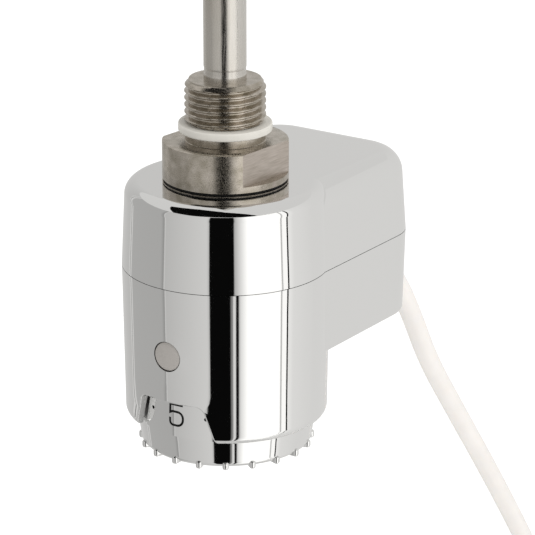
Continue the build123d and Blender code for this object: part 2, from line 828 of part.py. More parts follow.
with BuildPart() as clamp_screws:
    with BuildSketch(clamp_hole_plane.offset(clamp_split + clamp_height)):
        with Locations((-clamp_screw_offset, 0), (clamp_screw_offset, 0)):
            Circle(screw_radius - stack_gap)
    extrude(amount=-clamp_screw_length)
    with BuildSketch(clamp_hole_plane.offset(clamp_split + clamp_height)):
        with Locations((-clamp_screw_offset, 0), (clamp_screw_offset, 0)):
            Circle(screw_head_radius)
    extrude(amount=screw_head_height)
clamp_screws.part.label = "clamp_screws"
export_step(clamp_screws.part, "parts/clamp_screws.step")

# three insulated cores bend from the jacket's end down to the terminal block
tail_end = wall_behind.offset(-tail_length)
with BuildPart() as supply_cores:
    for x in block_xs:
        start = tail_end.from_local_coords((x * core_lay, 0, 0))
        mouth = Vector(x, block_y + block_size[1] / 2 - core_grip, board_top + block_mouth_height)
        with BuildLine():
            FilletPolyline(
                start,
                start - exit_axis * core_straight,
                (x * core_spread, start.Y - core_drop_start, (start.Z + mouth.Z) / 2),
                (x, mouth.Y + core_drop_end, mouth.Z),
                mouth,
                radius=core_bend,
            )
        with BuildSketch(tail_end):
            with Locations((x * core_lay, 0)):
                Circle(wire_radius - stack_gap)
        sweep()
supply_cores.part.label = "supply_cores"
export_step(supply_cores.part, "parts/supply_cores.step")

with BuildPart() as heater_leads:
    for side in (-1, 1):
        x = side * pin_spacing / 2
        pin_end = neck_end - pin_tail
        foot_x = x + side * lead_spread
        with BuildLine():
            FilletPolyline(
                (x, 0, pin_end),
                (x, 0, pin_end - lead_straight),
                (foot_x, -lead_shift, pin_end - lead_drop),
                (foot_x, -lead_shift, board_top),
                radius=lead_bend,
            )
        with BuildSketch(Plane(origin=(x, 0, pin_end), z_dir=(0, 0, -1))):
            Circle(wire_radius)
        sweep()
heater_leads.part.label = "heater_leads"
export_step(heater_leads.part, "parts/heater_leads.step")

# =====================================================================
# Knob: turns under the head, numbered 0 to 6
# =====================================================================

with BuildPart() as nub:
    with BuildSketch(Plane.XY.offset(knob_base - nub_drop)):
        RectangleRounded(nub_length, nub_width, nub_corner)
    extrude(amount=nub_height)
    fillet(nub.edges().group_by(Axis.Z)[0] + nub.edges().group_by(Axis.Z)[-1], nub_edge)

knob_foot_radius = knob_radius - knob_taper
floor_level = knob_base + knob_dish_depth + cap_depth + knob_floor - 1
spindle_base = knob_base + spindle_foot
with BuildPart() as knob:
    with BuildSketch(Plane.XZ):
        with BuildLine():
            foot = Line((knob_radius, barrel_base), (knob_foot_radius, knob_base + knob_edge_radius))
            edge = RadiusArc(foot @ 1, (knob_foot_radius - knob_edge_radius, knob_base), knob_edge_radius)
            Polyline(
                edge @ 1,
                (knob_dish_radius, knob_base),
                (knob_dish_radius - knob_dish_depth, knob_base + knob_dish_depth),
                (cap_radius, knob_base + knob_dish_depth),
                (cap_radius, knob_base + knob_dish_depth + cap_depth),
                (0, knob_base + knob_dish_depth + cap_depth),
                (0, knob_base + hub_height),
                (hub_radius, knob_base + hub_height),
                (hub_radius, floor_level),
                (knob_foot_radius - knob_wall, floor_level),
                (knob_radius - knob_wall, barrel_base),
                (knob_radius - knob_wall, knob_top),
                (knob_radius, knob_top),
                foot @ 0,
            )
        make_face()
    revolve(axis=Axis.Z)
    nub_circle = knob_foot_radius + nub_proud - nub_length / 2
    with PolarLocations(nub_circle, nub_count, start_angle=nub_turn - 90):
        add(nub.part)
    with BuildSketch(Plane.XY.offset(spindle_base)):
        Circle(spindle_radius + stack_gap)
        with Locations((spindle_radius - spindle_flat + stack_gap, 0)):
            Rectangle(2, 4 * spindle_radius, align=(Align.MIN, Align.CENTER), mode=Mode.SUBTRACT)
    extrude(amount=hub_height, mode=Mode.SUBTRACT)
    with BuildSketch(Plane.XY.offset(knob_base)):
        Circle(screw_radius)
    extrude(amount=hub_height, mode=Mode.SUBTRACT)
    with BuildSketch(Plane.XY.offset(knob_base)):
        Circle(counterbore_radius)
    extrude(amount=spindle_foot - 1.5, mode=Mode.SUBTRACT)
    with BuildSketch(Plane.XY.offset(knob_top - stop_height)):
        sector(knob_inner_radius + 0.5, stop_inner_radius, stop_rib_angle, stop_rib_half_angle)
    extrude(amount=stop_height)
knob.part.label = "knob"
export_step(knob.part, "parts/knob.step")

with BuildPart() as dial_spindle:
    with BuildSketch(Plane.XY.offset(spindle_base + stack_gap)):
        Circle(spindle_radius)
        with Locations((spindle_radius - spindle_flat, 0)):
            Rectangle(2, 4 * spindle_radius, align=(Align.MIN, Align.CENTER), mode=Mode.SUBTRACT)
    extrude(amount=hub_height)
    with BuildSketch(Plane.XY.offset(knob_base + hub_height)):
        Circle(spindle_radius)
    extrude(amount=pot_base + spindle_reach - knob_base - hub_height)
    with BuildSketch(Plane.XY.offset(spindle_base)):
        Circle(screw_radius)
    extrude(amount=column_bite, mode=Mode.SUBTRACT)
dial_spindle.part.label = "dial_spindle"
export_step(dial_spindle.part, "parts/dial_spindle.step")

with BuildPart() as knob_screw:
    with Locations((0, 0, knob_base + spindle_foot - 1.5)):
        Cylinder(screw_head_radius, screw_head_height, align=(Align.CENTER, Align.CENTER, Align.MAX))
        Cylinder(screw_radius - stack_gap, column_bite, align=(Align.CENTER, Align.CENTER, Align.MIN))
knob_screw.part.label = "knob_screw"
export_step(knob_screw.part, "parts/knob_screw.step")

with BuildPart() as knob_cap:
    with BuildSketch(Plane.XY.offset(knob_base + knob_dish_depth)):
        Circle(cap_radius - cap_gap)
    extrude(amount=cap_depth - cap_gap)
    fillet(knob_cap.edges().group_by(Axis.Z)[0], 0.4)
knob_cap.part.label = "knob_cap"
export_step(knob_cap.part, "parts/knob_cap.step")

# =====================================================================
# Mains lead: hangs from the boot, and what is not in use is coiled and tied
# =====================================================================

# (y, z) of each turn of the lead, all at x = 0
cord_route = [
    (66.640, -47.510),
    (77.000, -54.498),
    (85.6, -64.2),
    (93.6, -76.3),
    (103.2, -93.2),
    (117.6, -111.8),
    (140.9, -141.4),
    (163.5, -171.5),
    (175.5, -189.5),
    (181.5, -205.5),
    (183.0, -220.0),
    (183.0, -233.0),
]
route = [Vector(0, y, z) for y, z in cord_route]
runs = [b - a for a, b in zip(route, route[1:])]
turns = [radians(a.get_angle(b)) for a, b in zip(runs, runs[1:])]
bend_radii = [
    0.45 * min(a.length, b.length) / tan(turn / 2) for a, b, turn in zip(runs, runs[1:], turns)
]
print("cord bend radii, mm:", [round(r, 1) for r in bend_radii])

with BuildPart() as mains_cord:
    with BuildLine() as cord_line:
        FilletPolyline(*route, radius=bend_radii)
    with BuildSketch(Plane(origin=route[0], z_dir=runs[0])):
        Circle(cord_radius)
    sweep()
mains_cord.part.label = "mains_cord"
export_step(mains_cord.part, "parts/mains_cord.step")
cord_length = sum(edge.length for edge in cord_line.edges())
print("cord volume / section x length:", mains_cord.part.volume / (pi * cord_radius**2 * cord_length))

cord_end = route[-1]
coil_y = cord_end.Y - coil_radius
coil_z = cord_end.Z - coil_lead_in
coil_width = (coil_turns + 1) * 2 * cord_radius + 2 * coil_skin
coil_x = -coil_turns * cord_radius
coil_middle = Plane(origin=(coil_x, coil_y, coil_z), x_dir=(0, 1, 0), z_dir=(1, 0, 0))
last_turn_x = -coil_turns * 2 * cord_radius
with BuildPart() as cord_coil:
    with BuildSketch(coil_middle):
        Circle(coil_radius + cord_radius + coil_skin)
        Circle(coil_radius - cord_radius - coil_skin, mode=Mode.SUBTRACT)
    extrude(amount=coil_width / 2, both=True)
    fillet(cord_coil.edges().filter_by(GeomType.CIRCLE), coil_rounding)
    with BuildSketch(Plane.XY.offset(cord_end.Z)):
        with Locations((0, cord_end.Y)):
            Circle(cord_radius)
    extrude(amount=coil_z - cord_end.Z)
    with BuildSketch(Plane.XY.offset(coil_z)):
        with Locations((last_turn_x, cord_end.Y)):
            Circle(cord_radius)
    extrude(amount=-coil_tail)
cord_coil.part.label = "cord_coil"
export_step(cord_coil.part, "parts/cord_coil.step")
coil_length = 2 * pi * coil_radius * coil_turns
print("lead length, mm:", cord_length + coil_lead_in + coil_length + coil_tail)

with BuildPart() as cord_tie:
    with BuildSketch(Plane(origin=(coil_x, coil_y, coil_z + coil_radius), x_dir=(1, 0, 0), z_dir=(0, 1, 0))):
        tie_width_inside = coil_width + 2 * tie_gap
        tie_height_inside = 2 * (cord_radius + coil_skin + tie_gap)
        RectangleRounded(
            tie_width_inside + 2 * tie_thickness,
            tie_height_inside + 2 * tie_thickness,
            coil_rounding + tie_thickness,
        )
        RectangleRounded(tie_width_inside, tie_height_inside, coil_rounding, mode=Mode.SUBTRACT)
    extrude(amount=tie_width / 2, both=True)
cord_tie.part.label = "cord_tie"
export_step(cord_tie.part, "parts/cord_tie.step")

plug_top = coil_z - coil_tail
plug_neck = plug_top - plug_boot_length
plug_face = plug_neck - plug_shoulder_height - plug_face_height
plug_axis = Axis((last_turn_x, cord_end.Y, 0), (0, 0, 1))
plug_section = Plane(origin=(last_turn_x, cord_end.Y, 0), x_dir=(1, 0, 0), z_dir=(0, -1, 0))
plug_face_plane = Plane.XY.offset(plug_face).shift_origin((last_turn_x, cord_end.Y, plug_face))
shoulder = plug_neck - plug_shoulder_height
strip_depth = plug_face_height - 2 * plug_bevel
strip_offset = plug_radius - earth_strip_thickness / 2
with BuildPart() as plug_body:
    with BuildSketch(plug_section):
        with BuildLine():
            Polyline(
                (0, plug_face),
                (0, plug_top),
                (plug_boot_radius, plug_top),
                (plug_neck_radius, plug_neck),
            )
            Spline(
                (plug_neck_radius, plug_neck),
                (plug_radius * plug_waist[0], plug_neck - plug_shoulder_height * plug_waist[1]),
                (plug_radius, shoulder),
                tangents=[(0.2, -1), (0, -1)],
            )
            Polyline(
                (plug_radius, shoulder),
                (plug_radius, plug_face + plug_bevel),
                (plug_radius - plug_bevel, plug_face),
                (0, plug_face),
            )
        make_face()
    revolve(axis=plug_axis)
    with BuildSketch(plug_face_plane):
        with Locations((0, plug_radius), (0, -plug_radius)):
            Rectangle(earth_strip_width + plug_slot_gap, 2 * earth_strip_thickness + plug_slot_gap)
        with Locations((0, plug_pin_spacing / 2)):
            Circle(plug_recess_radius)
    extrude(amount=strip_depth, mode=Mode.SUBTRACT)
plug_body.part.label = "plug_body"
export_step(plug_body.part, "parts/plug_body.step")

with BuildPart() as plug_pins:
    with BuildSketch(plug_face_plane):
        with Locations((-plug_pin_spacing / 2, 0), (plug_pin_spacing / 2, 0)):
            Circle(plug_pin_radius)
    extrude(amount=-plug_pin_length)
    fillet(plug_pins.edges().group_by(Axis.Z)[0], plug_pin_radius * 0.6)
plug_pins.part.label = "plug_pins"
export_step(plug_pins.part, "parts/plug_pins.step")

with BuildPart() as earth_strips:
    with BuildSketch(plug_face_plane):
        with Locations((0, strip_offset), (0, -strip_offset)):
            Rectangle(earth_strip_width, earth_strip_thickness)
    extrude(amount=strip_depth - stack_gap)
earth_strips.part.label = "earth_strips"
export_step(earth_strips.part, "parts/earth_strips.step")
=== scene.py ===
from math import atan2, cos, pi, radians, sin, sqrt, tan

import bmesh
import bpy
from mathutils import Matrix, Vector


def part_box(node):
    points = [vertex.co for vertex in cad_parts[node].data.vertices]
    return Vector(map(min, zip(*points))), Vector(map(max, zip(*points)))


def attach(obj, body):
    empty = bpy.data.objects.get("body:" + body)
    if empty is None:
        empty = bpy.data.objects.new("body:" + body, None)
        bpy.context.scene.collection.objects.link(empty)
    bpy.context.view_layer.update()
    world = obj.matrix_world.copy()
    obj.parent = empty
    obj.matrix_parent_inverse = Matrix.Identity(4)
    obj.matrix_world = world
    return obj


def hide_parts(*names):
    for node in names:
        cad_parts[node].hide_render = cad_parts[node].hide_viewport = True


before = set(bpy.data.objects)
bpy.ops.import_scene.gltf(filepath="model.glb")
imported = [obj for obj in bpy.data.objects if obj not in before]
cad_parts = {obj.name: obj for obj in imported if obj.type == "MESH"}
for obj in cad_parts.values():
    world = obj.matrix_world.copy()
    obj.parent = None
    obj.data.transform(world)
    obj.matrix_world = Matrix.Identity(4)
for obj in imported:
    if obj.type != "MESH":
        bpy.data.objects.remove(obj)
bpy.context.view_layer.update()

# ---- Camera ----
# A long lens stands off to the right of the dial and looks a little down on the head, so that
# the upright sides of the barrel stay almost parallel.
camera_azimuth = radians(34.0)
camera_elevation = radians(19.1)
camera_distance = 0.80
camera_aim = Vector((0.00895, 0.00604, -0.03511))
towards_camera = Vector((
    sin(camera_azimuth) * cos(camera_elevation),
    -cos(camera_azimuth) * cos(camera_elevation),
    sin(camera_elevation),
))
camera = bpy.data.objects.new("camera", bpy.data.cameras.new("camera"))
camera.location = camera_aim + towards_camera * camera_distance
camera.rotation_euler = (-towards_camera).to_track_quat("-Z", "Y").to_euler()
camera.data.lens = 207
camera.data.sensor_width = 36
bpy.context.collection.objects.link(camera)
bpy.context.scene.camera = camera

# ---- Mains lead ----
# A white 6 mm PVC lead, three cores inside one round jacket. It leaves the back of the head,
# hangs under its own weight, and what is not in use is wound into five turns and tied.
mm = 0.001
lead_radius = 3.0 * mm
# (y, z) of each turn of the lead as it hangs, at x = 0, in millimetres
lead_route = [
    (66.640, -47.510), (77.000, -54.498), (85.6, -64.2), (93.6, -76.3), (103.2, -93.2), (117.6, -111.8),
    (140.9, -141.4), (163.5, -171.5), (175.5, -189.5), (181.5, -205.5), (183.0, -220.0), (183.0, -233.0),
]
coil_turns = 5
coil_radius = 33.0 * mm
coil_middle = Vector((0, 150 * mm, -255 * mm))
coil_pitch = 2 * lead_radius
points_per_turn = 16
coil_tail = 26 * mm


def plain_material(name, colour, roughness, metallic=0.0, ior=1.5, coat=0.0):
    """A Principled material with its constants on the shader's own sockets, and its nodes at hand."""
    material = bpy.data.materials.new(name)
    material.use_nodes = True
    shader = material.node_tree.nodes["Principled BSDF"]
    shader.inputs["Base Color"].default_value = (*colour, 1)
    shader.inputs["Roughness"].default_value = roughness
    shader.inputs["Metallic"].default_value = metallic
    shader.inputs["IOR"].default_value = ior
    shader.inputs["Coat Weight"].default_value = coat
    return material


def grain(material, scale, stretch=(1, 1, 1), detail=4.0):
    """A noise over the piece, its grains 1/scale metres across and drawn out along an axis by stretch."""
    nodes, links = material.node_tree.nodes, material.node_tree.links
    place = nodes.new("ShaderNodeTexCoord")
    mapping = nodes.new("ShaderNodeMapping")
    mapping.inputs["Scale"].default_value = stretch
    noise = nodes.new("ShaderNodeTexNoise")
    noise.inputs["Scale"].default_value = scale
    noise.inputs["Detail"].default_value = detail
    links.new(place.outputs["Object"], mapping.inputs["Vector"])
    links.new(mapping.outputs["Vector"], noise.inputs["Vector"])
    return noise.outputs["Fac"]


def vary_roughness(material, pattern, smoothest, roughest):
    """Roughness that follows a pattern between two values."""
    nodes, links = material.node_tree.nodes, material.node_tree.links
    spread = nodes.new("ShaderNodeMapRange")
    spread.inputs["From Min"].default_value = 0.3
    spread.inputs["From Max"].default_value = 0.7
    spread.inputs["To Min"].default_value = smoothest
    spread.inputs["To Max"].default_value = roughest
    links.new(pattern, spread.inputs["Value"])
    links.new(spread.outputs["Result"], nodes["Principled BSDF"].inputs["Roughness"])


def vary_colour(material, pattern, dark, light, low=0.35, high=0.65):
    """Base colour that follows a pattern from dark to light."""
    nodes, links = material.node_tree.nodes, material.node_tree.links
    ramp = nodes.new("ShaderNodeValToRGB")
    ramp.color_ramp.elements[0].position = low
    ramp.color_ramp.elements[0].color = (*dark, 1)
    ramp.color_ramp.elements[1].position = high
    ramp.color_ramp.elements[1].color = (*light, 1)
    links.new(pattern, ramp.inputs["Fac"])
    links.new(ramp.outputs["Color"], nodes["Principled BSDF"].inputs["Base Color"])


def relief(material, pattern, height, strength=1.0):
    """Bump of the given height in metres, which adds to any the material already has."""
    nodes, links = material.node_tree.nodes, material.node_tree.links
    bump = nodes.new("ShaderNodeBump")
    bump.inputs["Strength"].default_value = strength
    bump.inputs["Distance"].default_value = height
    links.new(pattern, bump.inputs["Height"])
    target = nodes["Principled BSDF"].inputs["Normal"]
    if target.links:
        links.new(target.links[0].from_socket, bump.inputs["Normal"])
    links.new(bump.outputs["Normal"], target)


def moulded_plastic(name, colour, roughness, tint=0.93, texture=0.012 * mm, coat=0.0):
    """Moulded plastic or rubber: a fine spark-eroded texture, and a little unevenness in colour and gloss."""
    material = plain_material(name, colour, roughness, coat=coat)
    cloud = grain(material, 160, detail=3)
    vary_colour(material, cloud, tuple(tint * c for c in colour), colour)
    vary_roughness(material, grain(material, 900), roughness * 0.88, roughness * 1.15)
    relief(material, grain(material, 5200, detail=2), texture, 0.6)
    return material


lead_white = moulded_plastic("lead_white", (0.76, 0.73, 0.70), 0.36, tint=0.97, texture=0.006 * mm)
lead_white.node_tree.nodes["Principled BSDF"].inputs["Subsurface Weight"].default_value = 0.15
lead_white.node_tree.nodes["Principled BSDF"].inputs["Subsurface Radius"].default_value = (0.002, 0.0016, 0.0012)

lead_points = [Vector((0, y * mm, z * mm)) for y, z in lead_route]
for step in range(coil_turns * points_per_turn + 1):
    turn = step / points_per_turn
    lead_points.append(coil_middle + Vector((
        -coil_pitch * turn, coil_radius * cos(2 * pi * turn), -coil_radius * sin(2 * pi * turn),
    )))
lead_points.append(lead_points[-1] - Vector((0, 0, coil_tail * 0.5)))
lead_points.append(lead_points[-1] - Vector((0, 0, coil_tail * 0.5)))

lead_curve = bpy.data.curves.new("mains_lead", "CURVE")
lead_curve.dimensions = "3D"
lead_curve.bevel_depth = lead_radius
lead_curve.bevel_resolution = 6
lead_curve.use_fill_caps = True
lead_line = lead_curve.splines.new("NURBS")
lead_line.points.add(len(lead_points) - 1)
for point, place in zip(lead_line.points, lead_points):
    point.co = (*place, 1)
lead_line.order_u = 3
lead_line.use_endpoint_u = True
lead_line.resolution_u = 10
lead_curve.materials.append(lead_white)
lead = bpy.data.objects.new("mains_lead", lead_curve)
bpy.context.collection.objects.link(lead)
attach(lead, "head")
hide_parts("mains_cord", "cord_coil")

# ---- Boot where the lead leaves the head ----
# A short ribbed cone of the same white PVC, moulded round the lead so that it can't be bent
# sharply at the wall. Its waist snaps into the hole in the back of the lower shell.
exit_tilt = radians(34.0)
boot_tip = lead_points[0]
boot_direction = Vector((0, cos(exit_tilt), -sin(exit_tilt)))
boot_length = 12.0
boot_root_radius = 5.6
boot_tip_radius = 4.0
boot_waist_radius = 4.15
boot_inner_radius = 5.5
boot_bore = 3.05
boot_groove_starts = (3.4, 5.8, 8.2)
boot_groove_width = 1.0
arc_steps = 5
lathe_segments = 96


def rounded(outline, closed=True):
    """Turns an outline's corners into arcs. Each corner is (x, y, radius) in millimetres."""
    points = []
    count = len(outline)
    for index, corner in enumerate(outline):
        here = Vector(corner[:2])
        radius = corner[2] if len(corner) > 2 else 0
        inside = closed or 0 < index < count - 1
        if radius <= 0 or not inside:
            points.append(here)
            continue
        before = Vector(outline[index - 1][:2]) - here
        after = Vector(outline[(index + 1) % count][:2]) - here
        angle = before.angle(after)
        reach = min(radius / tan(angle / 2), 0.48 * before.length, 0.48 * after.length)
        radius = reach * tan(angle / 2)
        middle = here + (before.normalized() + after.normalized()).normalized() * (radius / sin(angle / 2))
        start = here + before.normalized() * reach - middle
        swing = start.angle_signed(here + after.normalized() * reach - middle)
        for step in range(arc_steps + 1):
            turned = Matrix.Rotation(-swing * step / arc_steps, 2) @ start
            points.append(middle + turned)
    return points


def solid_piece(name, mesh, material, body, replaced=(), sharp=35.0):
    """Links a mesh as a piece: smooth but for its sharp edges, riding on a body, and standing for CAD nodes."""
    for face in mesh.polygons:
        face.use_smooth = True
    mesh.set_sharp_from_angle(angle=radians(sharp))
    if material is not None:
        mesh.materials.clear()
        mesh.materials.append(material)
    piece = bpy.data.objects.new(name, mesh)
    bpy.context.collection.objects.link(piece)
    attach(piece, body)
    if replaced:
        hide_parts(*replaced)
    return piece


def lathe(name, outline, centre=Vector(), direction=Vector((0, 0, 1)), segments=lathe_segments, closed=True):
    """Mesh turned round an axis through centre, from an (r, z) outline in millimetres with z along direction."""
    form = bmesh.new()
    rings = []
    for point in rounded(outline, closed):
        ring = []
        for step in range(segments):
            angle = 2 * pi * step / segments
            ring.append(form.verts.new((point.x * mm * cos(angle), point.x * mm * sin(angle), point.y * mm)))
        rings.append(ring)
    pairs = list(zip(rings, rings[1:]))
    if closed:
        pairs.append((rings[-1], rings[0]))
    for lower, upper in pairs:
        for step in range(segments):
            following = (step + 1) % segments
            form.faces.new((lower[step], lower[following], upper[following], upper[step]))
    bmesh.ops.remove_doubles(form, verts=form.verts, dist=1e-7)
    bmesh.ops.recalc_face_normals(form, faces=form.faces)
    turn = Vector((0, 0, 1)).rotation_difference(direction).to_matrix().to_4x4()
    bmesh.ops.transform(form, matrix=Matrix.Translation(centre) @ turn, verts=form.verts)
    mesh = bpy.data.meshes.new(name)
    form.to_mesh(mesh)
    form.free()
    return mesh


def boot_radius_at(z):
    """Radius of the boot's cone at a height above its root, in millimetres."""
    return boot_root_radius + (boot_tip_radius - boot_root_radius) * z / boot_length


boot_outline = [
    (boot_bore, -7.6, 0), (boot_inner_radius, -7.6, 0.5), (boot_inner_radius, -3.2, 0.3),
    (boot_waist_radius, -3.2, 0.2), (boot_waist_radius, 0.75, 0.1), (boot_radius_at(0.75), 0.75, 0.4),
]
for start in boot_groove_starts:
    end = start + boot_groove_width
    floor = boot_tip_radius - 0.1
    boot_outline += [
        (boot_radius_at(start), start, 0.35), (floor, start, 0.3), (floor, end, 0.3), (boot_radius_at(end), end, 0.35),
    ]
boot_outline += [(boot_tip_radius, boot_length, 0.7), (boot_bore, boot_length, 0.2)]
boot_root = boot_tip - boot_direction * boot_length * mm
solid_piece(
    "lead_boot", lathe("lead_boot", boot_outline, boot_root, boot_direction, 64),
    moulded_plastic("boot_white", (0.80, 0.775, 0.74), 0.42), "head", ("cord_boot",),
)

# ---- Fitting ----
# One turned piece of nickel-plated brass: a G1/2 thread that screws into the radiator, a collar,
# and a wrench nut milled across two flats, with a groove for the O-ring under its flange.
nickel = plain_material("nickel_plate", (0.46, 0.415, 0.355), 0.3, metallic=1.0)
nickel_cloud = grain(nickel, 420, detail=8)
vary_colour(nickel, nickel_cloud, (0.36, 0.325, 0.265), (0.56, 0.51, 0.45), 0.3, 0.7)
vary_roughness(nickel, grain(nickel, 2600, detail=6), 0.16, 0.34)
relief(nickel, grain(nickel, 3800, stretch=(1, 1, 6), detail=5), 0.010 * mm, 0.5)

thread_pitch = 1.814
thread_depth = 1.16
thread_radius = 20.955 / 2
thread_bottom, thread_top = 4.6, 16.0
thread_start_length = 1.6
nut_radius = 16.3
nut_turn = radians(-5.5)
nut_half_flats = 13.5
neck_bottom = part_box("fitting_body")[0].z / mm
rod_radius = 5.5
fitting_segments = 180


def thread_profile(phase):
    """Depth of the thread below its crest, 0 to 1, at a phase of 0 to 1 along one pitch."""
    flank = abs(2 * (phase % 1) - 1)
    return min(1, max(0, (flank - 0.16) / 0.66))


def fitting_radius(radius, angle, flats):
    """Radius of the turned body at an angle, cut off by the two wrench flats where there are any."""
    if not flats:
        return radius
    side = abs(cos(angle - nut_turn))
    return min(radius, nut_half_flats / side) if side > 1e-6 else radius


def nut_angles():
    """Angles round the nut, with one exactly at each corner between the round and a flat."""
    corner = atan2(sqrt(nut_radius ** 2 - nut_half_flats ** 2), nut_half_flats)
    marks = sorted((nut_turn + base + sign * corner) % (2 * pi) for base in (0, pi) for sign in (-1, 1))
    angles = []
    for first, second in zip(marks, marks[1:] + [marks[0] + 2 * pi]):
        steps = max(2, round((second - first) / (2 * pi) * fitting_segments))
        angles += [first + (second - first) * step / steps for step in range(steps)]
    return angles


# (radius, z, True where the wrench flats cut it), from the thread's top down the outside
fitting_outline = [
    (rod_radius, thread_top, False), (thread_radius - thread_depth - 0.1, thread_top, False), "thread",
    (8.95, thread_bottom, False), (8.95, 2.4, False), (10.25, 2.4, False), (10.4, 2.25, False), (10.4, 0.12, False),
    (10.52, 0.0, False), (12.9, 0.0, False), (13.05, 0.0, True), (nut_radius - 0.35, 0.0, True),
    (nut_radius - 0.1, -0.12, True), (nut_radius, -0.4, True), (nut_radius, -8.25, True), (nut_radius, -8.4, True),
    (nut_radius, -8.4, False),
    (nut_radius, -8.5, False), (nut_radius, -9.95, False), (nut_radius - 0.15, -10.1, False), (14.8, -10.1, False),
    (14.8, -10.75, False), (nut_radius - 0.04, -10.75, False), (nut_radius, -10.78, False),
    (nut_radius, -10.82, False), (nut_radius - 0.04, -10.85, False), (9.0, -10.85, False),
    (9.0, neck_bottom, False), (6.5, neck_bottom, False), (6.5, -4.0, False), (rod_radius, -4.0, False),
]


def build_fitting():
    """The fitting as one closed mesh: rows down the outline, the thread's rows following its helix."""
    angles = nut_angles()
    form = bmesh.new()
    rows = []
    for entry in fitting_outline:
        if entry == "thread":
            steps = round((thread_top - thread_bottom) / thread_pitch * 14)
            for step in range(steps + 1):
                z = thread_top + (thread_bottom - thread_top) * step / steps
                row = []
                for angle in angles:
                    depth = thread_profile(z / thread_pitch - angle / (2 * pi)) * thread_depth
                    lead_in = max(0, thread_start_length - (thread_top - z)) * 0.75
                    run_out = max(0, 0.8 - (z - thread_bottom)) * 1.5
                    radius = thread_radius - max(depth, min(lead_in, thread_depth), min(run_out, 1.5))
                    row.append(form.verts.new((radius * mm * cos(angle), radius * mm * sin(angle), z * mm)))
                rows.append(row)
            continue
        radius, z, flats = entry
        row = []
        for angle in angles:
            r = fitting_radius(radius, angle, flats) * mm
            row.append(form.verts.new((r * cos(angle), r * sin(angle), z * mm)))
        rows.append(row)
    for upper, lower in zip(rows, rows[1:] + [rows[0]]):
        for step in range(len(angles)):
            following = (step + 1) % len(angles)
            form.faces.new((upper[step], upper[following], lower[following], lower[step]))
    bmesh.ops.remove_doubles(form, verts=form.verts, dist=1e-7)
    bmesh.ops.dissolve_degenerate(form, edges=form.edges, dist=1e-7)
    bmesh.ops.recalc_face_normals(form, faces=form.faces)
    mesh = bpy.data.meshes.new("radiator_fitting")
    form.to_mesh(mesh)
    form.free()
    return mesh


# the milled flats are brushed level by the cutter, so they have a finish of their own
milled = plain_material("nickel_milled", (0.56, 0.505, 0.455), 0.42, metallic=1.0)
cutter_lines = grain(milled, 900, stretch=(0.25, 0.25, 4), detail=6)
vary_colour(milled, cutter_lines, (0.44, 0.39, 0.34), (0.60, 0.54, 0.49), 0.3, 0.7)
vary_roughness(milled, grain(milled, 1500, stretch=(0.2, 0.2, 5)), 0.36, 0.5)
relief(milled, grain(milled, 1800, stretch=(0.12, 0.12, 5), detail=6), 0.02 * mm, 0.7)

fitting_mesh = build_fitting()
solid_piece("radiator_fitting", fitting_mesh, nickel, "element", ("fitting_body",), sharp=28)
fitting_mesh.materials.append(milled)
flat_normal = Vector((cos(nut_turn), sin(nut_turn), 0))
for face in fitting_mesh.polygons:
    if abs(face.normal.dot(flat_normal)) > 0.999 and abs(face.center.dot(flat_normal)) > 13.4 * mm:
        face.material_index = 1

# ---- Seals on the fitting ----
# A fibre-reinforced sealing ring over the thread's root closes on the radiator's face, and a
# nitrile O-ring sits in the groove under the flange.
seal_fibre = moulded_plastic("seal_fibre", (0.62, 0.60, 0.55), 0.6)
seal_outline = [(9.0, 2.42, 0.1), (12.1, 2.42, 0.35), (12.1, 4.55, 0.35), (9.0, 4.55, 0.1)]
seal_mesh = lathe("sealing_ring", seal_outline)
solid_piece("sealing_ring", seal_mesh, seal_fibre, "element", ("thread_seal",))
nitrile = moulded_plastic("nitrile_black", (0.006, 0.006, 0.006), 0.55, tint=0.7)
nitrile.node_tree.nodes["Principled BSDF"].inputs["Specular IOR Level"].default_value = 0.2
o_ring_outline = [(14.85, -10.73, 0.05), (16.05, -10.73, 0.22), (16.05, -10.12, 0.22), (14.85, -10.12, 0.05)]
solid_piece("o_ring", lathe("o_ring", o_ring_outline), nitrile, "element", ("flange_o_ring",))

# ---- Heater rod ----
# A drawn stainless tube packed with magnesia round its heating wire, soldered into the fitting
# and closed by a welded dome. It warms the radiator's water and is straw-coloured at its hot end.
stainless = plain_material("stainless_tube", (0.62, 0.60, 0.57), 0.2, metallic=1.0)
vary_colour(stainless, grain(stainless, 35, stretch=(1, 1, 0.5), detail=4), (0.56, 0.52, 0.46), (0.66, 0.65, 0.63))
vary_roughness(stainless, grain(stainless, 1200, stretch=(3, 3, 0.15), detail=6), 0.14, 0.34)
relief(stainless, grain(stainless, 1600, stretch=(3, 3, 0.1), detail=5), 0.006 * mm, 0.6)
rod_top = 316.0
rod_outline = [
    (4.9, -4.0, 0), (rod_radius, -4.0, 0.1), (rod_radius, 17.2, 0.3), (rod_radius - 0.12, 17.8, 0.3),
    (rod_radius - 0.12, 18.8, 0.3), (rod_radius, 19.4, 0.3), (rod_radius, rod_top - 6.6, 0.2),
    (rod_radius - 0.1, rod_top - 6.2, 0.15), (rod_radius - 0.02, rod_top - 5.8, 0.1),
    (rod_radius - 0.15, rod_top - 4.6, 1.5), (rod_radius - 1.2, rod_top - 1.9, 2.5), (2.6, rod_top - 0.45, 2.0),
    (0.001, rod_top, 0), (0.001, rod_top - 0.8, 0), (2.4, rod_top - 1.3, 1.5), (4.3, rod_top - 3.6, 2.0),
    (4.9, rod_top - 6.0, 1.0),
]
rod_mesh = lathe("heater_rod", rod_outline)
solid_piece("heater_rod", rod_mesh, stainless, "element", ("heater_sheath",))

